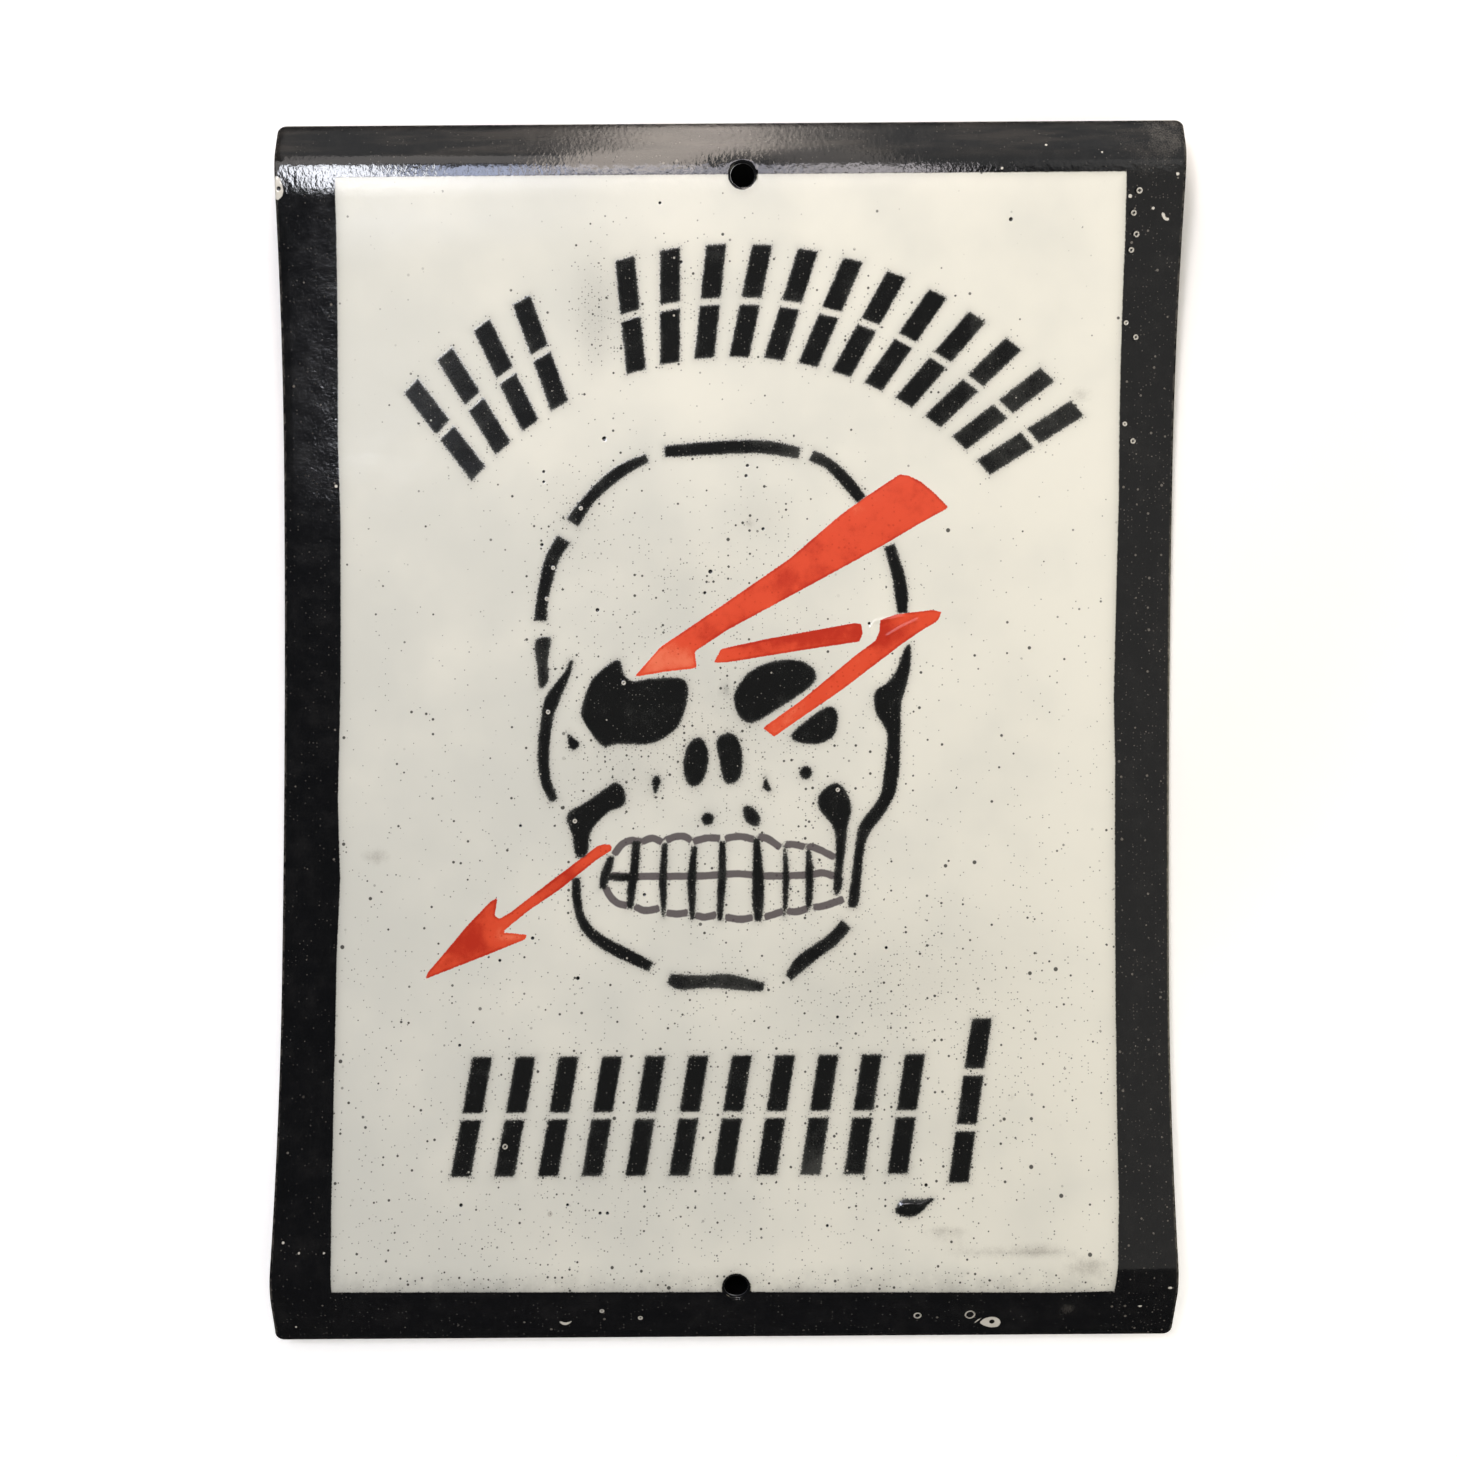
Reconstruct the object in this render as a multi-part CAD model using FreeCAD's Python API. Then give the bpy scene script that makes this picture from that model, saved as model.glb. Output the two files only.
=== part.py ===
import FreeCAD, Part
import math
import os

# An enamelled steel sign: one sheet, pressed hollow across its height, with a lip folded back
# along its top and its bottom, two fixing holes and edges that the fired coat has rounded.
# Millimetres. X runs across the sign, Z up it, and the printed front faces -Y.
# The origin lies midway between the fixing holes, in a plane that both their walls cross.

# The blank
sheet_width = 210.0
sheet_thickness = 1.3  # steel with its fired coat on both faces
corner_radius = 2.0
edge_radius = 0.45
skew_rise = 2.6  # the blank is out of square: its right end stands this much higher

# The hollow: a flat roll in the middle and a tighter one to each side, radii on the front face
middle_radius = 1500.0
middle_reach = 60.0  # along the sheet, each way from the deepest line
shoulder_radius = 400.0
top_shoulder_length = 62.4
bottom_shoulder_length = 66.0
top_ease_radius = 60.0  # the press led the sheet gently into its top bend
top_ease_length = 7.0
fold_front = 0.875  # front of the top fold ahead of the origin

# The lips, turned back past upright
top_bend_radius = 10.0
top_lip_angle = 20.4
top_lip_length = 6.95
bottom_bend_radius = 14.0
bottom_lip_angle = 23.0
bottom_lip_length = 11.1

# The fixing holes
hole_diameter = 5.5
top_hole_below_fold = 3.15  # each hole is centred below the foremost line of its fold
bottom_hole_below_fold = 1.9
hole_offset = 2.8  # right of the sheet's middle
hole_front_rounding = 0.6
hole_back_rounding = 0.3

# Sharper than this, an edge is a cut edge and not a smooth line between two rolls
cut_edge_angle = 30.0


def heading(lean, up):
    """Unit vector along the section, leaning forward by an angle; up is 1 or -1."""
    return FreeCAD.Vector(0, -math.sin(lean), up * math.cos(lean))


def outward(lean, up):
    """Unit vector out of the front face where the section leans forward by an angle."""
    return FreeCAD.Vector(0, -math.cos(lean), -up * math.sin(lean))


def face_edges(start, rolls, lip_length, depth, up):
    """One face of the half section, from the deepest line to the edge of its lip.

    Each roll is a radius on the front face, positive where the front is hollow, and the turn
    it makes. depth is how far behind the front face the line lies.
    """
    edges = []
    lean = 0.0
    point = start - outward(lean, up) * depth
    for front_radius, turn in rolls:
        radius = front_radius + depth
        centre = point + outward(lean, up) * radius
        half_way = centre - outward(lean + turn / 2, up) * radius
        end = centre - outward(lean + turn, up) * radius
        edges.append(Part.Arc(point, half_way, end).toShape())
        point = end
        lean += turn
    tip = point + heading(lean, up) * lip_length
    edges.append(Part.makeLine(point, tip))
    return edges, tip


def half_section(start, rolls, bend_radius, lip_angle, lip_length, up):
    """Front, back and end edges of the section above or below the deepest line."""
    slope = sum(turn for _, turn in rolls)
    bend = (-bend_radius, -(slope + math.radians(lip_angle)))
    front, front_tip = face_edges(start, rolls + [bend], lip_length, 0.0, up)
    back, back_tip = face_edges(start, rolls + [bend], lip_length, sheet_thickness, up)
    return front + back + [Part.makeLine(front_tip, back_tip)]


def fold_place(rolls, bend_radius):
    """How far the foremost line of a fold lies from the deepest line, in height and depth."""
    slope = sum(turn for _, turn in rolls)
    height = 0.0
    depth = 0.0
    lean = 0.0
    for radius, turn in rolls + [(-bend_radius, -slope)]:
        height += radius * (math.sin(lean + turn) - math.sin(lean))
        depth += radius * (math.cos(lean) - math.cos(lean + turn))
        lean += turn
    return height, depth


# Each roll of the hollow, from the deepest line outwards: its radius and the turn it makes
middle_roll = (middle_radius, middle_reach / middle_radius)
top_rolls = [
    middle_roll,
    (shoulder_radius, top_shoulder_length / shoulder_radius),
    (-top_ease_radius, -top_ease_length / top_ease_radius),
]
bottom_rolls = [middle_roll, (shoulder_radius, bottom_shoulder_length / shoulder_radius)]

top_fold_height, hollow_depth = fold_place(top_rolls, top_bend_radius)
bottom_fold_drop, _ = fold_place(bottom_rolls, bottom_bend_radius)
top_hole_height = top_fold_height - top_hole_below_fold
bottom_hole_drop = bottom_fold_drop + bottom_hole_below_fold
hole_pitch = top_hole_height + bottom_hole_drop
hollow_height = (bottom_hole_drop - top_hole_height) / 2  # deepest line above the origin


def bent_sheet():
    """The section carried across the width, a little uphill because the blank is skewed."""
    left = -sheet_width / 2 - hole_offset
    deepest = FreeCAD.Vector(
        left,
        hollow_depth - fold_front,
        hollow_height - skew_rise / 2,
    )
    top = half_section(deepest, top_rolls, top_bend_radius, top_lip_angle, top_lip_length, 1)
    bottom = half_section(
        deepest, bottom_rolls, bottom_bend_radius, bottom_lip_angle, bottom_lip_length, -1
    )
    outline = Part.Wire(Part.__sortEdges__(top + bottom))
    sheet = Part.Face(outline).extrude(FreeCAD.Vector(sheet_width, 0, skew_rise))
    return sheet.removeSplitter()


def edge_angle(edge, shape):
    """Angle in degrees between the two faces that meet at an edge, at its middle."""
    faces = shape.ancestorsOfType(edge, Part.Face)
    if len(faces) < 2:
        return 0.0
    first, last = edge.ParameterRange
    point = edge.valueAt((first + last) / 2)
    normals = []
    for face in faces[:2]:
        u, v = face.Surface.parameter(point)
        normals.append(face.normalAt(u, v))
    return math.degrees(normals[0].getAngle(normals[1]))


def cut_edges(shape):
    """The edges where the sheet was cut or punched."""
    return [edge for edge in shape.Edges if edge_angle(edge, shape) > cut_edge_angle]


def corner_edges(shape):
    """The four short edges through the thickness at the sheet's corners."""
    longest = sheet_thickness * 1.01
    return [edge for edge in cut_edges(shape) if edge.Length < longest]


def hole_centres():
    return [FreeCAD.Vector(0, 0, side * hole_pitch / 2) for side in (1, -1)]


def hole_rims(sheet, centre):
    """The two rims of one hole, front one first."""
    rims = []
    for edge in cut_edges(sheet):
        middle = edge.BoundBox.Center
        if math.hypot(middle.x - centre.x, middle.z - centre.z) < hole_diameter / 2:
            rims.append(edge)
    return sorted(rims, key=lambda rim: rim.BoundBox.Center.y)


def punch(sheet, centre):
    """One hole straight through along Y, dished by the coat more at the front than the back."""
    box = sheet.BoundBox
    clear = sheet_thickness
    foot = FreeCAD.Vector(centre.x, box.YMin - clear, centre.z)
    along = FreeCAD.Vector(0, 1, 0)
    tool = Part.makeCylinder(hole_diameter / 2, box.YLength + 2 * clear, foot, along)
    sheet = sheet.cut(tool)
    sheet = sheet.makeFillet(hole_front_rounding, hole_rims(sheet, centre)[:1])
    return sheet.makeFillet(hole_back_rounding, hole_rims(sheet, centre)[-1:])


def enamelled_sheet():
    sheet = bent_sheet()
    sheet = sheet.makeFillet(corner_radius, corner_edges(sheet))
    sheet = sheet.makeFillet(edge_radius, cut_edges(sheet))
    for centre in hole_centres():
        sheet = punch(sheet, centre)
    return sheet


def write(shape, node):
    os.makedirs("parts", exist_ok=True)
    shape.exportStep("parts/" + node + ".step")


write(enamelled_sheet(), "enamelled_sheet")
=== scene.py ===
import math

import bmesh
import bpy
import numpy as np
from mathutils import Matrix, Vector


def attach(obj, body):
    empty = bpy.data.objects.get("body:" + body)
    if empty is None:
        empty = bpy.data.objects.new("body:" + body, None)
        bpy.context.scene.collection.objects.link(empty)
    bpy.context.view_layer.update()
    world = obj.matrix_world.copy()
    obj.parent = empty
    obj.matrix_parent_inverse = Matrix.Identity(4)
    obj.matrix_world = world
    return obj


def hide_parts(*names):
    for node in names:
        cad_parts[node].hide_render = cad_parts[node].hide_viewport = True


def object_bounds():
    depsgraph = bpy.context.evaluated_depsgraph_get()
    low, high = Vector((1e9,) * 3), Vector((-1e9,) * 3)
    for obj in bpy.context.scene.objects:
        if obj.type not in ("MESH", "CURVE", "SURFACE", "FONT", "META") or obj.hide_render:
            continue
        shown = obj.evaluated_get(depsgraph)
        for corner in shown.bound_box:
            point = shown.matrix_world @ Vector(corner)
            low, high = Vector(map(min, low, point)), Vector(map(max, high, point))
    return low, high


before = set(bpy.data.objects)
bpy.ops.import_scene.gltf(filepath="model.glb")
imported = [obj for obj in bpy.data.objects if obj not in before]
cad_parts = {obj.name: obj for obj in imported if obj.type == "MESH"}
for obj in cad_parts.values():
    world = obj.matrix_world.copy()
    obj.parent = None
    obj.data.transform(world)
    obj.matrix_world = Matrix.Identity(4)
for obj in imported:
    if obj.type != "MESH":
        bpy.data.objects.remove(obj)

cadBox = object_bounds()

# An enamelled steel sign. The sheet is drawn flat, in millimetres: u runs across it from its
# middle, v up it from its deepest line and w out of its printed face. Then it is bent to its
# hollow with folded lips, and set in the frame in metres.

mm = 0.001

# the blank and its rolls, as the solid has them
sheet = {
    "width": 210.0,
    "thickness": 1.3,
    "cornerRadius": 2.0,
    "edgeRadius": 0.45,
    "skewRise": 2.6,
    "middleRadius": 1500.0,
    "middleReach": 60.0,
    "shoulderRadius": 400.0,
    "topShoulder": 62.4,
    "bottomShoulder": 66.0,
    "topEaseRadius": 60.0,
    "topEase": 7.0,
    "foldFront": 0.875,
    "topBend": 10.0,
    "topLipAngle": 20.4,
    "topLip": 6.95,
    "bottomBend": 14.0,
    "bottomLipAngle": 23.0,
    "bottomLip": 11.1,
    "holeRadius": 2.75,
    "topHoleBelowFold": 3.15,
    "bottomHoleBelowFold": 1.9,
    "holeOffset": 2.8,
    "holeFront": 0.6,
    "holeBack": 0.3,
    "sectionSteps": 5000,  # places tried along it when a height is looked up
}


def slopeAfter(rolls):
    return sum(length / radius for length, radius in rolls if radius)


def withLip(hollow, bendRadius, lipAngle, lip):
    turn = slopeAfter(hollow) + math.radians(lipAngle)
    return hollow + [(bendRadius * turn, -bendRadius), (lip, 0.0)]


# Each roll is a length of the front face and its radius, from the deepest line outwards:
# plus where the front is hollow, minus where it is domed and 0 where it is flat
middleRoll = (sheet["middleReach"], sheet["middleRadius"])
topHollow = [
    middleRoll,
    (sheet["topShoulder"], sheet["shoulderRadius"]),
    (sheet["topEase"], -sheet["topEaseRadius"]),
]
bottomHollow = [middleRoll, (sheet["bottomShoulder"], sheet["shoulderRadius"])]
topRolls = withLip(topHollow, sheet["topBend"], sheet["topLipAngle"], sheet["topLip"])
bottomRolls = withLip(
    bottomHollow, sheet["bottomBend"], sheet["bottomLipAngle"], sheet["bottomLip"]
)
topLength = sum(length for length, radius in topRolls)
bottomLength = sum(length for length, radius in bottomRolls)


def alongSection(v):
    # depth, height and lean of the front face at each v, and which half it is in
    up = np.where(v >= 0, 1.0, -1.0)
    depth = np.zeros_like(v)
    height = np.zeros_like(v)
    lean = np.zeros_like(v)
    for side, rolls in ((1.0, topRolls), (-1.0, bottomRolls)):
        here = up == side
        start = 0.0
        for length, radius in rolls:
            step = np.clip(np.abs(v) - start, 0.0, length) * here
            if radius:
                turned = lean + step / radius
                depth -= radius * (np.cos(lean) - np.cos(turned))
                height += radius * (np.sin(turned) - np.sin(lean))
                lean = turned
            else:
                depth -= np.sin(lean) * step
                height += np.cos(lean) * step
            start += length
    return depth, height * up, lean, up


def foldLine(hollow, bendRadius):
    # how far along the sheet its foremost line lies from the deepest one
    return sum(length for length, radius in hollow) + bendRadius * slopeAfter(hollow)


def placeAt(height):
    # the v where the front face stands at a height above the deepest line
    places = np.linspace(-bottomLength, topLength, sheet["sectionSteps"])
    _, heights, _, _ = alongSection(places)
    return float(np.interp(height, heights, places))


topFold = foldLine(topHollow, sheet["topBend"])
bottomFold = foldLine(bottomHollow, sheet["bottomBend"])
foldDepths, foldHeights, _, _ = alongSection(np.array([topFold, -bottomFold]))
hollowDepth = -foldDepths[0]
topHoleHeight = foldHeights[0] - sheet["topHoleBelowFold"]
bottomHoleHeight = foldHeights[1] - sheet["bottomHoleBelowFold"]
hollowHeight = -(bottomHoleHeight + topHoleHeight) / 2
holePlaces = [placeAt(topHoleHeight), placeAt(bottomHoleHeight)]
print("folds", topFold, bottomFold, "hollow", hollowDepth, hollowHeight, "holes", holePlaces)


def bend(flat):
    # flat (u, v, w) points to places in the frame, in millimetres
    u, v, w = flat.T
    depth, height, lean, up = alongSection(v)
    x = u - sheet["holeOffset"]
    y = hollowDepth - sheet["foldFront"] + depth - np.cos(lean) * w
    z = hollowHeight + sheet["skewRise"] * u / sheet["width"] + height - up * np.sin(lean) * w
    return np.stack([x, y, z], axis=1)


def bendNormals(flat, normals):
    u, v, w = flat.T
    _, _, lean, up = alongSection(v)
    across, along, out = normals.T
    y = -np.cos(lean) * out - up * np.sin(lean) * along
    z = np.cos(lean) * along - up * np.sin(lean) * out
    return np.stack([across, y, z], axis=1)


# Outlines of the print, in flat millimetres


def smoothLine(points, closed, steps=5):
    # a smooth line through points of any width: at each it runs as its two neighbours lie
    points = np.array(points, float)
    if closed:
        padded = np.vstack([points[-1:], points, points[:2]])
    else:
        padded = np.vstack([2 * points[:1] - points[1:2], points, 2 * points[-1:] - points[-2:-1]])
    line = []
    for a, b, c, d in zip(padded, padded[1:], padded[2:], padded[3:]):
        for step in range(steps):
            t = step / steps
            line.append(
                0.5
                * (
                    2 * b
                    + (c - a) * t
                    + (2 * a - 5 * b + 4 * c - d) * t * t
                    + (3 * b - a - 3 * c + d) * t ** 3
                )
            )
    if not closed:
        line.append(points[-1])
    return np.array(line)


def stroke(points):
    # the outline of a brush or stencil stroke through (u, v, width) points, cut square
    line = smoothLine(points, closed=False)
    run = np.gradient(line[:, :2], axis=0)
    run /= np.linalg.norm(run, axis=1)[:, None]
    side = np.stack([-run[:, 1], run[:, 0]], axis=1) * line[:, 2:] / 2
    return np.vstack([line[:, :2] + side, (line[:, :2] - side)[::-1]])


def patch(points):
    return smoothLine(points, closed=True)


def cut(points):
    return np.array(points, float)


def spot(u, v, across, up, lean=0.0, sides=14):
    turns = np.arange(sides) * 2 * math.pi / sides
    x = across * np.cos(turns)
    y = up * np.sin(turns)
    return np.stack([u + x + lean * y, v + y], axis=1)


skull = {
    "crown": stroke([(-15.1, 64.4, 2.6), (-7.5, 64.9, 3.1), (-0.2, 65.3, 3.1), (7.1, 65.4, 3.1),
                     (12.4, 64.7, 3.0), (16.8, 63.8, 2.7)]),
    "browLeft": stroke([(-36.8, 47.8, 3.4), (-32.9, 53.3, 2.8), (-27.7, 58.2, 3.0),
                        (-23.0, 61.2, 2.6), (-19.1, 62.9, 2.0)]),
    "templeLeft": stroke([(-38.8, 44.1, 3.6), (-41.3, 39.9, 3.3), (-42.8, 35.0, 3.1),
                          (-43.9, 29.7, 2.8), (-44.3, 24.7, 3.0)]),
    "earLeft": patch([(-45.5, 19.8), (-42.5, 20.9), (-41.8, 20.0), (-42.5, 15.1), (-42.4, 10.5),
                      (-44.4, 8.8), (-45.0, 13.8)]),
    "cheekboneLeft": stroke([(-36.9, 15.4, 0.9), (-38.0, 12.0, 1.6), (-41.2, 6.5, 3.3),
                             (-42.6, 1.6, 2.9), (-43.4, -5.1, 2.8), (-43.3, -10.2, 2.6),
                             (-42.5, -14.3, 2.4), (-40.8, -17.9, 1.9)]),
    "browRight": stroke([(19.6, 63.3, 2.6), (23.7, 61.2, 2.6), (27.7, 57.4, 2.9),
                         (31.5, 52.8, 2.7)]),
    "templeRight": stroke([(38.2, 42.0, 2.6), (39.3, 38.5, 2.8), (40.5, 34.4, 3.1),
                           (41.2, 29.8, 3.1), (41.5, 26.0, 2.3)]),
    "cheekboneRight": patch([(42.3, 18.1), (43.2, 18.6), (43.6, 16.9), (43.3, 12.3), (42.2, 7.6),
                             (41.3, 3.7), (41.1, -9.0), (40.6, -13.6), (39.7, -17.6),
                             (36.9, -22.3), (34.3, -25.6), (32.8, -29.5), (32.2, -34.9),
                             (31.4, -42.7), (30.2, -43.7), (29.0, -42.9), (29.7, -36.8),
                             (30.9, -26.9), (31.9, -23.6), (36.2, -17.6), (37.3, -12.3),
                             (38.1, -3.6), (37.3, -1.0), (35.4, 2.4), (34.8, 5.4), (35.3, 7.7),
                             (38.1, 9.7), (40.0, 12.3), (41.3, 15.6)]),
    "eyeLeft": patch([(-26.9, 15.1), (-25.5, 15.2), (-24.9, 13.8), (-24.1, 11.4), (-22.1, 10.3),
                      (-19.2, 10.7), (-14.5, 11.1), (-10.8, 10.8), (-9.5, 9.6), (-9.3, 6.5),
                      (-10.5, 1.7), (-12.7, -1.6), (-17.7, -4.5), (-25.7, -4.6), (-28.7, -5.1),
                      (-30.5, -4.1), (-33.9, 0.8), (-34.5, 3.6), (-32.7, 9.5), (-30.5, 12.3)]),
    "eyeRight": patch([(1.6, 6.3), (2.8, 9.2), (4.9, 12.0), (7.8, 13.7), (11.4, 14.9),
                       (15.1, 15.1), (18.2, 14.6), (20.4, 13.0), (21.2, 11.2), (20.6, 9.7),
                       (18.4, 7.7), (10.5, 2.5), (6.1, 0.2), (4.1, 0.7), (2.5, 2.5)]),
    "eyeRightLower": patch([(22.0, 3.0), (24.8, 3.9), (26.1, 2.3), (26.2, -0.6), (25.2, -3.2),
                            (21.9, -4.8), (18.9, -4.8), (16.2, -4.2), (15.3, -3.0),
                            (16.6, -1.2)]),
    "noseLeft": spot(-7.3, -9.0, 3.0, 5.9, 0.08),
    "noseRight": patch([(-2.4, -4.0), (-0.6, -2.4), (1.3, -2.3), (3.0, -4.2), (3.8, -9.4),
                        (2.9, -13.2), (0.6, -14.2), (-0.9, -12.7), (-1.7, -8.6)]),
    "cheekLeft": patch([(-37.9, -22.1), (-36.6, -20.1), (-33.6, -18.5), (-27.2, -14.1),
                        (-25.5, -14.0), (-24.2, -15.7), (-24.2, -19.0), (-28.2, -20.9),
                        (-32.0, -25.2), (-32.9, -30.6), (-34.9, -31.5), (-35.9, -30.0),
                        (-36.6, -25.9)]),
    "jawHinge": patch([(21.7, -18.8), (22.3, -16.4), (25.7, -14.2), (28.2, -15.9),
                       (29.7, -20.2), (28.8, -24.2), (28.3, -29.5), (27.4, -36.8),
                       (26.6, -40.4), (25.5, -39.4), (26.0, -30.2), (25.4, -24.8),
                       (22.5, -21.0)]),
    "jawLeft": stroke([(-35.5, -36.2, 2.0), (-35.3, -41.0, 2.1), (-34.4, -45.4, 2.1),
                       (-32.0, -49.2, 2.6), (-27.6, -52.4, 2.9), (-22.6, -54.9, 2.9),
                       (-17.6, -57.4, 2.4)]),
    "chin": stroke([(-13.4, -60.2, 2.4), (-10.3, -61.0, 3.6), (-4.8, -60.9, 3.0),
                    (0.6, -60.9, 3.5), (5.8, -61.8, 2.8), (9.1, -62.2, 2.0)]),
    "jawRight": stroke([(28.6, -47.6, 2.9), (25.4, -51.1, 3.2), (21.7, -53.8, 3.1),
                        (18.1, -56.5, 3.5), (14.9, -60.1, 1.9)]),
    "toothEnd": stroke([(-27.2, -31.1, 1.5), (-27.9, -33.7, 2.1), (-28.7, -35.9, 2.2),
                        (-29.2, -38.9, 1.6)]),
    "toothA": stroke([(-21.3, -27.6, 2.0), (-21.7, -34.3, 2.1), (-22.4, -39.4, 2.0),
                      (-22.7, -43.6, 1.4)]),
    "toothB": stroke([(-14.5, -28.1, 1.3), (-14.9, -36.4, 1.9), (-14.8, -41.5, 1.5),
                      (-14.7, -45.8, 0.6)]),
    "toothC": stroke([(-7.5, -28.9, 1.3), (-8.1, -36.5, 2.1), (-8.0, -42.0, 1.7),
                      (-7.9, -46.3, 1.0)]),
    "toothD": stroke([(-0.9, -27.8, 1.4), (-0.9, -36.0, 2.0), (-1.2, -41.0, 1.8),
                      (-1.4, -46.6, 1.3)]),
    "toothE": stroke([(7.2, -27.1, 1.5), (7.6, -36.0, 2.7), (7.6, -41.7, 2.8),
                      (7.7, -46.8, 1.7)]),
    "toothF": stroke([(13.9, -29.1, 0.6), (14.2, -35.6, 1.6), (14.1, -41.5, 1.3),
                      (13.9, -45.8, 0.5)]),
    "toothG": stroke([(19.5, -29.9, 1.1), (19.8, -36.0, 1.9), (19.7, -41.5, 1.6),
                      (19.6, -44.2, 0.7)]),
    "toothH": stroke([(27.1, -36.5, 1.5), (26.8, -38.5, 1.5), (26.2, -40.4, 1.2)]),
    "bite": stroke([(-28.6, -35.9, 1.3), (-24.5, -36.2, 1.9), (-20.6, -36.1, 1.2)]),
    "chipA": patch([(-37.6, -2.1), (-36.1, -3.3), (-34.9, -4.4), (-36.0, -6.0), (-37.4, -4.9)]),
    "chipB": patch([(-17.7, -13.2), (-16.7, -12.2), (-15.6, -13.4), (-16.9, -16.5)]),
    "chipC": cut([(9.2, -12.4), (10.8, -15.8), (10.1, -16.2), (8.5, -15.2)]),
    "chipD": spot(18.8, -11.7, 1.5, 1.6),
    "chipE": spot(-4.4, -22.5, 1.5, 1.5),
    "chipF": patch([(3.9, -20.6), (4.7, -19.4), (6.6, -20.1), (8.0, -22.2), (7.4, -24.3),
                    (4.9, -23.4)]),
}

brush = {
    "width": 1.75,
    "share": 0.93,  # how much of the white its grey covers
    "lines": [
        [(-27.6, -35.7), (-22.4, -36.0), (-14.7, -36.0), (-6.4, -36.0), (-0.8, -35.7), (3.3, -35.5),
         (9.5, -36.1), (19.8, -35.9), (22.8, -35.4), (25.9, -36.4)],
        [(-26.6, -30.9), (-24.7, -28.4), (-22.7, -27.5), (-20.3, -27.7)],
        [(-20.1, -27.8), (-17.5, -27.0), (-15.1, -28.0)],
        [(-14.3, -27.5), (-12.2, -26.7), (-10.0, -26.6), (-8.2, -27.7)],
        [(-7.8, -27.8), (-4.5, -27.0), (-1.4, -27.1)],
        [(-0.4, -27.2), (3.2, -26.7), (6.6, -27.4)],
        [(7.5, -26.7), (9.9, -27.3), (12.9, -29.5)],
        [(13.8, -28.7), (16.1, -28.7), (18.7, -29.3)],
        [(19.2, -29.0), (21.8, -29.8), (25.9, -31.9)],
        [(-28.5, -38.6), (-27.2, -40.9), (-25.4, -42.4), (-23.2, -42.9)],
        [(-21.6, -43.0), (-19.2, -44.1), (-15.7, -43.5)],
        [(-14.1, -44.6), (-11.5, -45.0), (-8.9, -44.6)],
        [(-7.2, -45.2), (-4.9, -45.7), (-2.2, -45.1)],
        [(-0.2, -45.7), (3.4, -46.3), (6.5, -45.8)],
        [(9.1, -45.8), (11.3, -45.2), (13.7, -44.4)],
        [(14.4, -44.4), (16.7, -44.6), (19.4, -43.9)],
        [(20.6, -43.6), (23.4, -43.2), (28.0, -41.7)],
    ],
}

bolt = {
    "head": cut([(40.4, 58.7), (42.6, 58.4), (45.6, 56.9), (48.9, 54.1), (52.2, 50.8),
                 (45.0, 46.9), (36.9, 42.1), (17.3, 31.5), (0.1, 22.3), (-7.7, 17.2),
                 (-7.2, 13.3), (-14.5, 12.5), (-22.0, 11.3), (-15.9, 18.3), (-1.3, 28.1),
                 (14.6, 39.0), (26.4, 49.1), (32.4, 53.4)]),
    "bar": cut([(-1.5, 17.8), (9.4, 20.1), (30.0, 23.7), (31.7, 23.5), (32.1, 21.2),
                (31.3, 19.3), (17.4, 17.3), (0.1, 14.6), (-3.2, 14.5)]),
    "tail": cut([(36.2, 24.4), (39.9, 25.7), (48.6, 26.7), (50.7, 26.2), (49.9, 24.1),
                 (46.6, 22.2), (41.3, 18.6), (27.4, 8.0), (14.8, -0.6), (11.3, -3.1),
                 (8.5, -1.0), (17.5, 5.4), (30.7, 16.3), (35.0, 19.4), (36.0, 21.6)]),
    "arrow": cut([(-71.0, -59.9), (-70.3, -58.1), (-68.3, -55.9), (-61.5, -47.7),
                  (-55.8, -41.7), (-54.1, -40.8), (-54.7, -45.0), (-53.6, -45.8),
                  (-51.0, -44.3), (-41.0, -36.6), (-30.5, -28.7), (-28.9, -28.3),
                  (-27.5, -28.4), (-26.9, -29.6), (-30.8, -32.1), (-39.5, -39.1),
                  (-46.3, -43.6), (-53.0, -49.0), (-46.9, -49.6), (-47.5, -50.7),
                  (-56.7, -54.4)]),
}

# stencilled hazard bars: two groups round the head, a row below it and a longer bar at its end
bars = {
    "arcCentre": (0.9, 5.7),
    "arcInner": 80.5,
    "arcLength": 25.5,
    "leftTurns": (-46.6, 5.9, 4),  # the first one's degrees from upright, the pitch, how many
    "rightTurns": (-14.9, 5.8, 12),
    "width": 4.7,
    "slant": 0.16,
    "rowStart": -59.4,
    "rowPitch": 10.2,
    "rowCount": 11,
    "rowFoot": -105.6,
    "rowLength": 27.4,
    "endAcross": 57.6,
    "endFoot": -107.6,
    "endLength": 37.6,
    "bridge": 1.6,  # the width of a cut that holds the stencil together
    "middleCut": [0.5],  # cuts, as shares of a bar's length
    "endCuts": [0.33, 0.67],
}


def barPieces(foot, out, side, length, cuts):
    # one leaning bar with its foot at a point, cut by the stencil's bridges
    lean = out + side * bars["slant"]
    half = side * bars["width"] / 2
    base = foot - side * bars["slant"] * length / 2
    gap = bars["bridge"] / length / 2
    starts = [0.0] + [share + gap for share in cuts]
    ends = [share - gap for share in cuts] + [1.0]
    pieces = []
    for start, end in zip(starts, ends):
        low = base + lean * length * start
        high = base + lean * length * end
        pieces.append(np.array([low - half, low + half, high + half, high - half]))
    return pieces


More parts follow.
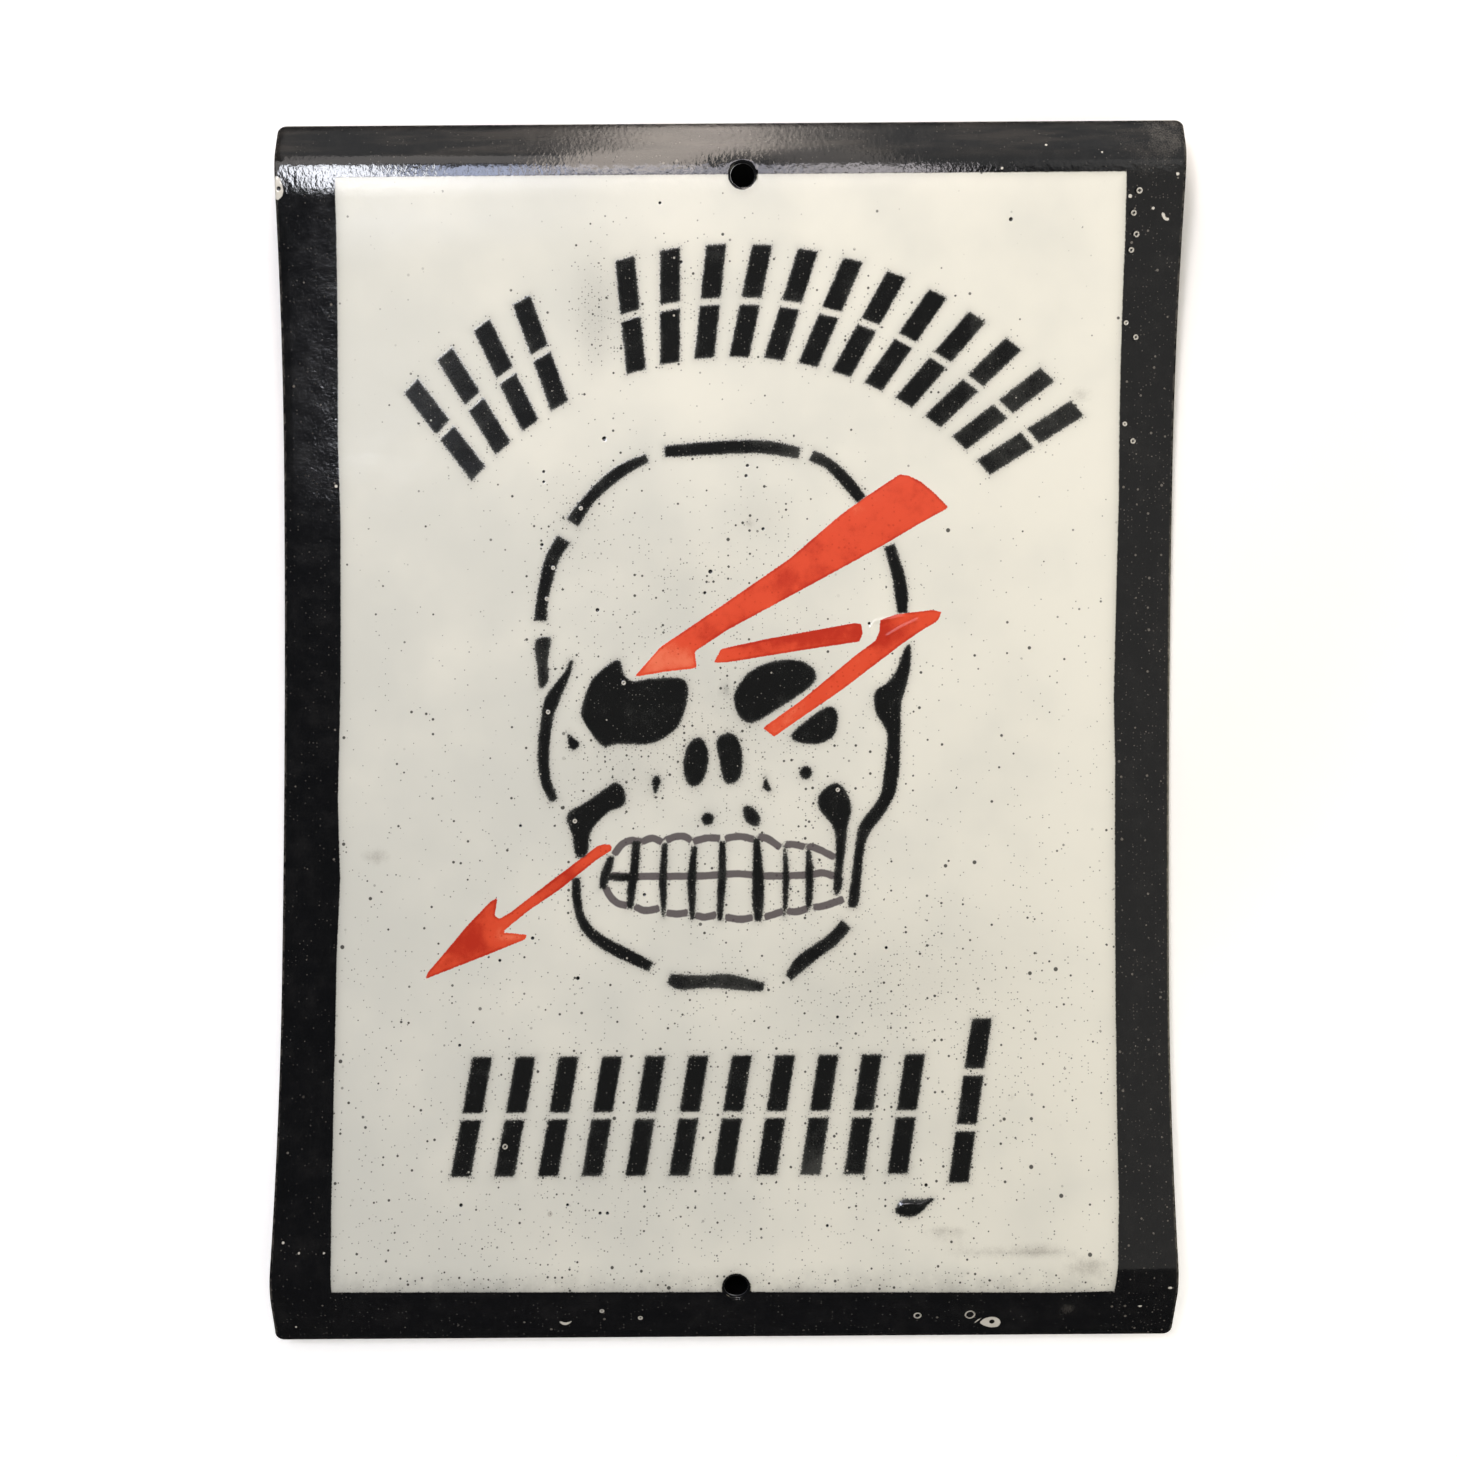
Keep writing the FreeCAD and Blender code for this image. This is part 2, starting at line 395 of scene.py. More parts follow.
def arcBars():
    outlines = []
    for first, pitch, count in (bars["leftTurns"], bars["rightTurns"]):
        for index in range(count):
            turn = math.radians(first + index * pitch)
            out = np.array([math.sin(turn), math.cos(turn)])
            side = np.array([math.cos(turn), -math.sin(turn)])
            foot = np.array(bars["arcCentre"]) + out * bars["arcInner"]
            outlines += barPieces(foot, out, side, bars["arcLength"], bars["middleCut"])
    return outlines


def rowBars():
    out = np.array([0.0, 1.0])
    side = np.array([1.0, 0.0])
    outlines = []
    for index in range(bars["rowCount"]):
        foot = np.array([bars["rowStart"] + index * bars["rowPitch"], bars["rowFoot"]])
        outlines += barPieces(foot, out, side, bars["rowLength"], bars["middleCut"])
    foot = np.array([bars["endAcross"], bars["endFoot"]])
    return outlines + barPieces(foot, out, side, bars["endLength"], bars["endCuts"])


panel = cut([(-91.0, 127.0), (-91.2, 113.2), (-91.8, 86.0), (-92.1, 67.6), (-91.6, 49.0),
             (-91.6, 11.0), (-92.1, -17.4), (-91.4, -36.4), (-92.0, -55.2), (-92.0, -83.3),
             (-91.5, -110.6), (-90.9, -123.8), (-90.6, -131.2), (3.7, -131.8),
             (77.6, -132.5), (90.1, -132.2), (90.9, -126.0), (91.1, -122.8),
             (91.8, -111.7), (92.2, -77.5), (92.1, -9.2), (91.7, 5.1), (92.3, 52.3),
             (91.9, 89.5), (91.7, 112.0), (91.2, 127.1), (29.8, 127.1),
             (-43.8, 127.1)])

bead = patch([(39.8, -113.6), (41.4, -111.4), (45.6, -111.3), (48.0, -111.0), (48.8, -111.4),
              (47.5, -112.4), (45.7, -114.2), (43.8, -115.1), (41.8, -115.1), (40.4, -114.6)])


# how far out of an outline its distance is worked out, in millimetres
reaches = {"print": 6.0, "panel": 12.0, "marks": 1.5}


def edgeDistance(points, outline, reach):
    # signed distance in millimetres to a closed outline, positive inside, held at the reach
    result = np.full(len(points), -reach)
    low = outline.min(axis=0) - reach
    high = outline.max(axis=0) + reach
    near = np.nonzero(((points > low) & (points < high)).all(axis=1))[0]
    if not len(near):
        return result
    p = points[near]
    best = np.full(len(p), reach ** 2)
    inside = np.zeros(len(p), bool)
    for a, b in zip(outline, np.roll(outline, -1, axis=0)):
        edge = b - a
        length = edge @ edge
        if length == 0:
            continue
        offset = p - a
        t = np.clip(offset @ edge / length, 0.0, 1.0)
        gap = offset - t[:, None] * edge
        best = np.minimum(best, (gap ** 2).sum(axis=1))
        crosses = (a[1] > p[:, 1]) != (b[1] > p[:, 1])
        if crosses.any():
            at = a[0] + (p[:, 1] - a[1]) * edge[0] / (edge[1] or 1.0)
            inside ^= crosses & (p[:, 0] < at)
    distance = np.sqrt(best)
    result[near] = np.where(inside, distance, -distance)
    return result


def fieldOf(points, outlines, reach):
    field = np.full(len(points), -reach)
    for outline in outlines:
        field = np.maximum(field, edgeDistance(points, outline, reach))
    return field


inkOutlines = list(skull.values()) + arcBars() + rowBars() + [bead]
redOutlines = list(bolt.values())
brushOutlines = [stroke([(u, v, brush["width"]) for u, v in line]) for line in brush["lines"]]


# Marks in the fired coat: places and radii in flat millimetres
marks = {
    "pins": [
        (-29.3, 67.5, 0.45), (-48.8, -23.8, 0.26), (-45.7, -50.4, 0.32), (-34.9, -59.9, 0.36),
        (-4.1, 36.1, 0.41), (-30.8, 27.2, 0.36), (33.6, 23.6, 0.26), (-44.0, 42.7, 0.32),
        (-19.3, -40.3, 0.3), (-53.4, -55.6, 0.28), (4.5, 61.0, 0.3), (4.2, 58.6, 0.3),
        (8.3, 46.1, 0.3), (-5.4, 31.1, 0.3), (38.0, -53.2, 0.28), (-43.6, 59.9, 0.26),
        (-43.6, 57.5, 0.26), (65.0, 116.8, 0.36), (-11.3, 107.8, 0.3), (-16.2, 120.9, 0.26),
        (-61.3, -111.9, 0.32), (-28.9, -113.9, 0.28), (-27.2, -113.9, 0.28),
        (-36.5, -112.0, 0.26), (47.0, -108.1, 0.3), (23.9, -117.0, 0.26), (-62.6, -75.4, 0.26),
        (26.5, -69.4, 0.26), (62.6, -141.2, 0.55), (-104.0, 124.6, 0.4),
    ],
    "rings": [
        (-51.4, -98.8, 0.47), (-40.5, -114.0, 0.41), (-34.8, 51.2, 0.32), (-41.3, 37.2, 0.32),
        (-42.8, 29.9, 0.32), (-42.4, 3.1, 0.36), (-24.5, 9.9, 0.36), (-35.9, -22.8, 0.36),
        (26.4, -15.8, 0.34), (94.4, 122.9, 0.53), (93.4, 118.0, 0.5), (94.3, 113.3, 0.53),
        (93.3, 109.8, 0.47), (92.9, 93.4, 0.38), (95.3, 90.1, 0.47), (93.4, 70.1, 0.38),
        (95.4, 66.1, 0.47), (-28.3, -137.1, 0.38), (-19.4, -139.3, 0.4), (45.1, -139.1, 0.75),
        (57.3, -138.9, 1.05),
    ],
    "flecks": [
        (92.3, 121.7, 0.4), (97.8, 119.0, 0.32), (103.0, 126.5, 0.36), (-102.2, -120.0, 0.3),
        (-98.4, -122.3, 0.24), (-92.6, -122.3, 0.24), (72.7, 133.5, 0.3), (85.5, 131.5, 0.24),
        (62.5, 128.0, 0.3), (-92.6, 56.8, 0.36), (-99.8, -141.4, 0.22),
    ],
    "chips": [
        patch([(-104.9, 127.0), (-103.7, 126.9), (-103.3, 125.6), (-103.0, 124.1),
               (-103.6, 122.6), (-104.9, 122.4)]),
        patch([(99.8, 118.0), (100.5, 117.8), (100.8, 117.0), (101.6, 116.8), (101.4, 116.2),
               (100.3, 116.7)]),
        patch([(59.9, -141.6), (60.7, -140.3), (62.3, -139.7), (63.8, -140.1), (64.6, -141.3),
               (64.0, -142.7), (61.9, -142.8)]),
        patch([(58.3, -141.9), (59.6, -140.6), (60.0, -140.0), (59.0, -140.8)]),
        patch([(-38.2, -140.2), (-37.6, -141.2), (-36.4, -141.2), (-35.4, -140.1),
               (-36.7, -140.6)]),
        spot(103.0, -131.5, 0.5, 0.3),
        spot(96.6, -136.7, 0.55, 0.25),
    ],
    "ridges": [
        [(33.9, 20.6), (33.9, 22.6), (34.8, 24.0), (38.0, 24.5), (41.6, 25.2)],
        [(38.0, 20.6), (41.3, 22.6), (45.0, 24.3)],
    ],
    "ridgeHalf": 0.35,
    "ringHalf": 0.17,
}

# Soft patches, each with its place, its reach across and up, and its amount
softPatches = {
    "dust": [
        (-31.0, 96.0, 5.0, 12.0, 0.9), (-12.0, 104.0, 16.0, 7.0, 0.25),
        (-6.0, -2.0, 16.0, 10.0, 0.35), (-24.0, -12.0, 14.0, 8.0, 0.35),
        (-36.0, 50.0, 8.0, 12.0, 0.3), (8.0, 49.0, 7.0, 5.0, 0.3), (-8.0, 36.0, 22.0, 10.0, 0.2),
        (42.0, -60.0, 26.0, 14.0, 0.4), (20.0, -86.0, 60.0, 26.0, 0.18),
        (-30.0, -114.0, 50.0, 16.0, 0.15), (26.0, -30.0, 10.0, 16.0, 0.25),
        (-0.4, 8.3, 0.8, 1.6, 2.0), (-4.0, 8.0, 36.0, 42.0, 0.3),
    ],
    "smudge": [
        (51.0, -119.0, 8.0, 2.0, 0.6), (58.0, -123.5, 12.0, 2.5, 0.45),
        (73.0, -122.5, 8.0, 2.0, 0.6), (84.0, -126.5, 7.0, 3.0, 0.6),
        (-83.0, -31.0, 4.5, 3.0, 0.6), (83.0, 77.0, 4.0, 3.0, 0.5),
        (5.0, 47.5, 2.5, 2.0, 0.5), (67.0, -88.0, 2.0, 2.0, 0.5),
        (32.0, -104.0, 4.0, 3.0, 0.5), (42.0, -104.0, 4.0, 2.0, 0.5),
    ],
    "wornAndSheen": [
        (-58.0, 80.0, 22.0, 22.0, 0.25), (66.0, 74.0, 16.0, 20.0, 0.5),
        # these two lie on the top lip and are a painted sheen
        (102.0, 138.0, 9.0, 8.0, 1.0), (80.0, 143.0, 14.0, 1.0, 0.8),
        (79.7, -139.0, 1.3, 1.3, 1.2),
        (22.0, -104.0, 5.0, 4.0, 1.0), (0.0, -61.0, 14.0, 4.0, 0.6), (-40.0, 52.0, 10.0, 14.0, 0.4),
        (18.0, 64.0, 8.0, 4.0, 0.6), (-44.0, 16.0, 4.0, 8.0, 0.5),
    ],
    "deepRed": [
        (16.0, 21.0, 22.0, 3.5, 0.9), (18.0, 34.0, 16.0, 7.0, 0.35), (46.0, 52.0, 8.0, 5.0, 0.3),
        (-61.0, -51.0, 6.5, 5.0, 0.9), (-40.0, -37.0, 13.0, 4.0, 0.4),
        (36.0, 22.0, 5.0, 4.0, 0.5), (-15.0, 15.0, 9.0, 5.0, -0.8), (-50.0, -49.5, 5.0, 2.2, -0.9),
        (13.0, 0.0, 6.0, 5.0, -0.4),
    ],
}


def toPoint(points, u, v):
    return np.hypot(points[:, 0] - u, points[:, 1] - v)


def toLine(points, line):
    # distance to an open line of points
    best = np.full(len(points), np.inf)
    for a, b in zip(np.array(line), np.array(line[1:])):
        edge = b - a
        t = np.clip((points - a) @ edge / (edge @ edge), 0.0, 1.0)
        best = np.minimum(best, np.linalg.norm(points - a - t[:, None] * edge, axis=1))
    return best


def discs(points, places):
    # positive inside the nearest disc, held at the reach outside
    field = np.full(len(points), -reaches["marks"])
    for u, v, radius in places:
        field = np.maximum(field, radius - toPoint(points, u, v))
    return field


def rings(points, places):
    field = np.full(len(points), -reaches["marks"])
    for u, v, radius in places:
        field = np.maximum(field, marks["ringHalf"] - np.abs(toPoint(points, u, v) - radius))
    return field


def softly(points, patches):
    field = np.zeros(len(points))
    for u, v, across, up, amount in patches:
        spread = ((points[:, 0] - u) / across) ** 2 + ((points[:, 1] - v) / up) ** 2
        field += amount * np.exp(-spread)
    return field


def toHole(points):
    # distance to the nearer fixing hole's middle
    return np.minimum(*(toPoint(points, sheet["holeOffset"], v) for v in holePlaces))


relief = {
    "beadHeight": 0.48,
    "beadShoulder": 1.9,
    "ridge": 0.16,
    "pin": -0.14,
    "ringRim": 0.08,
    "rimTight": 3.0,
    "ringDip": -0.12,
    "dipTight": 1.8,
    "dimple": -0.1,
    "dimpleReach": 3.2,
}


def reliefOf(points):
    # how far the coat stands out of the face: the bead, thick red, craters and pinholes
    shoulder = np.clip(edgeDistance(points, bead, reaches["print"]) / relief["beadShoulder"], 0.0, 1.0)
    height = relief["beadHeight"] * (1.0 - (1.0 - shoulder) ** 2)
    for line in marks["ridges"]:
        height += relief["ridge"] * np.exp(-((toLine(points, line) / marks["ridgeHalf"]) ** 2))
    for u, v, radius in marks["pins"]:
        height += relief["pin"] * np.exp(-((toPoint(points, u, v) / radius) ** 2))
    for u, v, radius in marks["rings"]:
        gap = toPoint(points, u, v) / radius
        height += relief["ringRim"] * np.exp(-(((gap - 1.0) * relief["rimTight"]) ** 2))
        height += relief["ringDip"] * np.exp(-((gap * relief["dipTight"]) ** 2))
    gap = np.maximum(toHole(points) - sheet["holeRadius"], 0.0)
    return height + relief["dimple"] * np.exp(-gap / relief["dimpleReach"])


# The sheet's mesh, in millimetres: the sizes of its faces, and how they are picked
fineness = {
    "cell": 2.5,
    "foldCell": 0.9,
    "printCell": 0.62,
    "markCell": 0.25,
    "holeBlock": 4.4,  # cells that a hole's block is across
    "holeSplits": 3,
    "holeRings": 3,
    "edgeSteps": 3,
    "cornerSteps": 6,
    "sharp": 1.0,  # radians: a rim turns by more than this
    "near": 0.001,
    "foldMargin": 1.0,
    "foldStretch": 1.5,  # an edge this much longer than the fold's cell is split
    "foldCuts": 2,
    "upright": 3.0,  # an edge that runs up the sheet is this many times taller than wide
    "ownSize": 0.6,  # a face reaches this share of its size from its middle
    "markMargin": 1.4,  # a mark reaches this many of its radii
    "markShare": 0.5,
    "tooCoarse": 1.45,  # a face this much larger than is wanted is split
    "facing": 0.99,  # the printed face: how far its faces face out, and how deep they lie
    "facingDepth": 0.05,
    "passes": 4,
}


def gridSheet():
    bm = bmesh.new()
    height = topLength + bottomLength
    columns = round(sheet["width"] / fineness["cell"])
    rows = round(height / fineness["cell"])
    bmesh.ops.create_grid(bm, x_segments=columns, y_segments=rows, size=0.5)
    bmesh.ops.scale(bm, vec=(sheet["width"], height, 1.0), verts=bm.verts)
    bmesh.ops.translate(bm, vec=(0, (topLength - bottomLength) / 2, 0), verts=bm.verts)
    return bm


def boundaryNear(bm, centre, reach):
    return [e for e in bm.edges if e.is_boundary and (e.verts[0].co - centre).length < reach]


def openHole(bm, v):
    # a square block of the grid is taken out, and its edge is drawn in to a round rim
    centre = Vector((sheet["holeOffset"], v, 0))
    block = fineness["holeBlock"] * fineness["cell"]
    inside = [f for f in bm.faces
              if max(abs(f.calc_center_median().x - centre.x),
                     abs(f.calc_center_median().y - centre.y)) < block / 2]
    bmesh.ops.delete(bm, geom=inside, context="FACES")
    rim = boundaryNear(bm, centre, block)
    bmesh.ops.subdivide_edges(bm, edges=rim, cuts=fineness["holeSplits"])
    made = bmesh.ops.extrude_edge_only(bm, edges=boundaryNear(bm, centre, block))
    drawn = [g for g in made["geom"] if isinstance(g, bmesh.types.BMVert)]
    for vert in drawn:
        vert.co = centre + (vert.co - centre).normalized() * sheet["holeRadius"]
    spokes = [e for vert in drawn for e in vert.link_edges if e.other_vert(vert) not in drawn]
    bmesh.ops.subdivide_edges(bm, edges=spokes, cuts=fineness["holeRings"], use_grid_fill=True)


def roundCorners(bm):
    edge = sheet["width"] / 2 - fineness["near"]
    corners = [v for v in bm.verts if len(v.link_edges) == 2 and v.is_boundary
               and abs(v.co.x) > edge]
    bmesh.ops.bevel(bm, geom=corners, offset=sheet["cornerRadius"], offset_type="OFFSET",
                    segments=fineness["cornerSteps"], profile=0.5, affect="VERTICES", material=-1)


def thicken(bm):
    faces = list(bm.faces)
    for face in faces:
        if face.normal.z < 0:
            face.normal_flip()
    back = bmesh.ops.extrude_face_region(bm, geom=faces, use_keep_orig=True)
    verts = [g for g in back["geom"] if isinstance(g, bmesh.types.BMVert)]
    bmesh.ops.translate(bm, vec=(0, 0, -sheet["thickness"]), verts=verts)
    bmesh.ops.recalc_face_normals(bm, faces=bm.faces)


def isHoleEdge(edge):
    middle = (edge.verts[0].co + edge.verts[1].co) / 2
    reach = sheet["holeRadius"] + sheet["edgeRadius"]
    return any(math.hypot(middle.x - sheet["holeOffset"], middle.y - v) < reach
               for v in holePlaces)


def bevelRims(bm, radius, atHole, atFront=None):
    # the rims are found afresh, because a bevel remakes the faces beside it
    rims = [e for e in bm.edges if len(e.link_faces) == 2 and e.calc_face_angle() > fineness["sharp"]
            and isHoleEdge(e) == atHole
            and (atFront is None or (e.verts[0].co.z > -sheet["thickness"] / 2) == atFront)]
    bmesh.ops.bevel(bm, geom=rims, offset=radius, offset_type="OFFSET",
                    segments=fineness["edgeSteps"], profile=0.5, affect="EDGES", material=-1)


def foldZones():
    # where the sheet turns tightly, as stretches of v
    zones = []
    for sign, rolls in ((1, topRolls), (-1, bottomRolls)):
        start = rolls[0][0] + rolls[1][0]
        end = sum(length for length, radius in rolls[:-1])
        zones.append(sorted((sign * start, sign * end)))
    return zones


def refineFolds(bm):
    zones = foldZones()
    margin = fineness["foldMargin"]
    longest = fineness["foldStretch"] * fineness["foldCell"]
    chosen = []
    for e in bm.edges:
        a, b = e.verts[0].co, e.verts[1].co
        middle = (a.y + b.y) / 2
        upright = abs(a.x - b.x) < abs(a.y - b.y) / fineness["upright"]
        if (upright and abs(a.y - b.y) > longest
                and any(low - margin < middle < high + margin for low, high in zones)):
            chosen.append(e)
    bmesh.ops.subdivide_edges(bm, edges=chosen, cuts=fineness["foldCuts"], use_grid_fill=True)


def wantedCell(places, sizes):
    # how fine the sheet is to be at each place, by its distance from the print and the marks
    wanted = np.full(len(places), fineness["cell"])
    margin = sizes * fineness["ownSize"]
    reach = 2 * fineness["cell"]
    for outline in inkOutlines + redOutlines + brushOutlines + [panel]:
        gap = np.abs(edgeDistance(places, outline, reach)) - margin
        wanted = np.minimum(wanted, np.maximum(fineness["printCell"], gap))
    for u, v, radius in marks["pins"] + marks["rings"] + marks["flecks"]:
        gap = toPoint(places, u, v) - fineness["markMargin"] * radius - margin
        finest = min(radius * fineness["markShare"], fineness["markCell"])
        wanted = np.minimum(wanted, np.maximum(finest, gap))
    fine = fineness["printCell"] / 2
    for outline in marks["chips"] + [bead]:
        gap = -edgeDistance(places, outline, reach) - margin
        wanted = np.minimum(wanted, np.maximum(fine, gap))
    for line in marks["ridges"]:
        gap = toLine(places, line) - 2 * marks["ridgeHalf"] - margin
        wanted = np.minimum(wanted, np.maximum(fine, gap))
    return wanted


def refineFront(bm):
    faces = [f for f in bm.faces if f.normal.z > fineness["facing"]
             and f.calc_center_median().z > -fineness["facingDepth"]]
    places = np.array([f.calc_center_median()[:2] for f in faces])
    sizes = np.array([max(e.calc_length() for e in f.edges) for f in faces])
    coarse = sizes > fineness["tooCoarse"] * wantedCell(places, sizes)
    chosen = dict.fromkeys(e for f, split in zip(faces, coarse) if split for e in f.edges)
    bmesh.ops.subdivide_edges(bm, edges=list(chosen), cuts=1, use_grid_fill=True)


def flatSheet():
    bm = gridSheet()
    for v in holePlaces:
        openHole(bm, v)
    roundCorners(bm)
    thicken(bm)
    bevelRims(bm, sheet["edgeRadius"], atHole=False)
    bevelRims(bm, sheet["holeFront"], atHole=True, atFront=True)
    bevelRims(bm, sheet["holeBack"], atHole=True, atFront=False)
    refineFolds(bm)
    print("coarse sheet", len(bm.faces), "faces")
    for step in range(fineness["passes"]):
        refineFront(bm)
        print("refined", step + 1, "times", len(bm.faces), "faces")
    bmesh.ops.triangulate(bm, faces=[f for f in bm.faces if len(f.verts) > 4])
    return bm


def toCutEdge(points):
    # how far in from the sheet's outline a place lies
    across = sheet["width"] / 2 - np.abs(points[:, 0])
    along = np.minimum(topLength - points[:, 1], points[:, 1] + bottomLength)
    return np.minimum(across, along)


def printFields(points):
    # distances in millimetres to each edge of the print, positive inside, and soft amounts
    pastRim = toHole(points) - sheet["holeRadius"] - sheet["holeFront"]
    fields = {
        "inkEdge": fieldOf(points, inkOutlines, reaches["print"]),
        "redEdge": fieldOf(points, redOutlines, reaches["print"]),
        "brushEdge": fieldOf(points, brushOutlines, reaches["print"]),
        "panelEdge": np.minimum(edgeDistance(points, panel, reaches["panel"]), pastRim),
        "pinEdge": discs(points, marks["pins"]),
        "ringEdge": rings(points, marks["rings"]),
        "paleEdge": np.maximum(discs(points, marks["flecks"]),
                               fieldOf(points, marks["chips"], reaches["marks"])),
        "cutEdge": toCutEdge(points),
    }
    for name, patches in softPatches.items():
        fields[name] = softly(points, patches)
    return fields


def addFields(mesh, flat):
    fields = printFields(flat[:, :2])
    fields["faceOut"] = flat[:, 2]
    for name, values in fields.items():
        layer = mesh.attributes.new(name, "FLOAT", "POINT")
        layer.data.foreach_set("value", values.astype(np.float32))
    layer = mesh.attributes.new("flatPlace", "FLOAT_VECTOR", "POINT")
    layer.data.foreach_set("vector", flat.astype(np.float32).ravel())


def buildSheet():
    bm = flatSheet()
    flat = np.array([v.co[:] for v in bm.verts])
    front = flat[:, 2] > -sheet["edgeRadius"] / 2
    flat[front, 2] += reliefOf(flat[front, :2])
    for vert, place in zip(bm.verts, flat):
        vert.co = place
    bm.normal_update()
    normals = np.array([v.normal[:] for v in bm.verts])
    for vert, place in zip(bm.verts, bend(flat) * mm):
        vert.co = place
    bmesh.ops.recalc_face_normals(bm, faces=bm.faces)
    mesh = bpy.data.meshes.new("enamelled_sheet_finish")
    bm.to_mesh(mesh)
    bm.free()
    mesh.shade_smooth()
    turned = bendNormals(flat, normals)
    mesh.normals_split_custom_set_from_vertices([tuple(n) for n in turned])
    addFields(mesh, flat)
    piece = bpy.data.objects.new("enamelled_sheet_finish", mesh)
    bpy.context.collection.objects.link(piece)
    print("sheet mesh", len(mesh.polygons), "faces", len(mesh.vertices), "points")
    return piece


# Materials


class Wire:
    # a socket that Python's signs work on: each sign adds a Math node
    def __init__(self, finish, socket):
        self.finish = finish
        self.socket = socket

    def maths(self, operation, *others):
        values = {0: self}
        values.update({index + 1: other for index, other in enumerate(others)})
        return self.finish.add("ShaderNodeMath", {"operation": operation}, values)

    def __add__(self, other):
        return self.maths("ADD", other)

    __radd__ = __add__

    def __sub__(self, other):
        return self.maths("SUBTRACT", other)

    def __rsub__(self, other):
        return (self * -1).maths("ADD", other)

    def __mul__(self, other):
        return self.maths("MULTIPLY", other)

    __rmul__ = __mul__

    def __truediv__(self, other):
        return self.maths("DIVIDE", other)

    def least(self, other):
        return self.maths("MINIMUM", other)

    def most(self, other):
        return self.maths("MAXIMUM", other)

    def between(self, low, high):
        # 0 up to low and 1 from high, smoothly
        return self.finish.add("ShaderNodeMapRange", {"interpolation_type": "SMOOTHSTEP"},
                               {"Value": self, "From Min": low, "From Max": high}, "Result")

    def fade(self, reach):
        # 1 where a distance is inside, dying away outside
        return (self.least(0.0) / reach).maths("EXPONENT")

    def part(self, name):
        return Wire(self.finish, self.socket.node.outputs[name])


# scattered dots: the smallest as a share of the largest, and how softly their cells are picked
dotSizes = {"smallest": 0.35, "pickBlur": 0.02}


class Finish:
    def __init__(self, tree):
        self.tree = tree
        tree.nodes.clear()

    def add(self, kind, settings=None, values=None, output=0):
        # any node: its settings, then its sockets' values or links
        node = self.tree.nodes.new(kind)
        for name, value in (settings or {}).items():
            setattr(node, name, value)
        for name, value in (values or {}).items():
            if isinstance(value, Wire):
                self.tree.links.new(value.socket, node.inputs[name])
            else:
                node.inputs[name].default_value = value
        return None if output is None else Wire(self, node.outputs[output])

    def attribute(self, name, output="Fac"):
        return self.add("ShaderNodeAttribute", {"attribute_name": name}, output=output)

    def noise(self, place, grainSize, detail, roughness, seed):
        # cloudy noise about 0.5, its grain in millimetres
        values = {"Vector": place, "Scale": 1 / grainSize, "Detail": detail,
                  "Roughness": roughness, "W": seed}
        return self.add("ShaderNodeTexNoise", {"noise_dimensions": "4D"}, values)

    def dots(self, m, kind, share):
        # scattered round dots: a share of the cells has one each, some larger than others
        pitch, radius, blur = dotKinds[kind]
        values = {"Vector": m["place"], "Scale": 1 / pitch, "Randomness": 1.0}
        cells = self.add("ShaderNodeTexVoronoi", {"voronoi_dimensions": "2D"}, values, "Distance")
        pick = self.add("ShaderNodeSeparateColor", None, {"Color": cells.part("Color")}, "Red")
        chosen = (share - pick).between(0.0, dotSizes["pickBlur"])
        growth = pick.part("Green") * (1 - dotSizes["smallest"])
        size = (growth + dotSizes["smallest"]) * radius
        return (size - cells * pitch).between(-blur, blur) * chosen

    def mix(self, factor, first, second):
        return self.add("ShaderNodeMix", {"data_type": "RGBA"}, {0: factor, 6: first, 7: second},
                        2)


def paint(red, green, blue):
    # a colour as a picture shows it, 0 to 255, in the linear form that a shader takes, by the
    # usual screen curve
    def linear(value):
        share = value / 255
        return share / 12.92 if share <= 0.04045 else ((share + 0.055) / 1.055) ** 2.4

    return (linear(red), linear(green), linear(blue), 1.0)


enamel = {
    "white": paint(231, 230, 219),
    # a greyer white, for random clouds and for the painted shade on the left side
    "whiteGreyAndShaded": paint(213, 214, 206),
    "dust": paint(112, 112, 110),
    "speck": paint(58, 57, 54),
    "smudge": paint(150, 146, 138),
    "border": paint(14, 15, 17),
    "borderPale": paint(34, 34, 34),
    # brownish bands on the upper lip: a painted reflection
    "lipSheen": paint(58, 54, 50),
    # a pale grey for worn places, for the painted highlight along the cut edge and for the painted
    # sheen on the top lip
    "wearAndGlint": paint(112, 108, 102),
    "ink": paint(24, 25, 25),
    "inkWorn": paint(66, 67, 65),
    "red": paint(221, 78, 48),
    "redDeep": paint(186, 48, 28),
    "redThin": paint(234, 116, 84),
    "brush": paint(86, 79, 82),
    "pale": paint(206, 203, 194),
    # the pale rims of the craters: partly paler enamel, partly a painted highlight
    "ring": paint(190, 187, 178),
    "pit": paint(24, 23, 21),
    "ground": paint(38, 40, 46),
    "groundPale": paint(84, 86, 90),
}

# the flat place, stretched for noises that run along the sign or up it
stretchedPlaces = {
    "along": (0.2, 1.4, 1.0),
    "upright": (1.0, 0.8, 1.0),
}

# each noise: the place it reads, its grain in millimetres, its detail, roughness and seed
noises = {
    "grain": ("place", 0.38, 2.0, 0.6, 0.0),
    "fine": ("place", 0.2, 1.0, 0.5, 3.0),
    "wobble": ("place", 1.5, 2.0, 0.5, 5.0),
    "mottle": ("place", 4.5, 3.0, 0.6, 2.0),
    "cloud": ("place", 30.0, 3.0, 0.55, 1.0),
    "waves": ("place", 6.0, 2.0, 0.5, 9.0),
    "ripple": ("place", 0.75, 2.0, 0.5, 11.0),
    "streaks": ("upright", 1.1, 2.0, 0.6, 13.0),
    "bands": ("along", 5.0, 3.0, 0.6, 15.0),
}

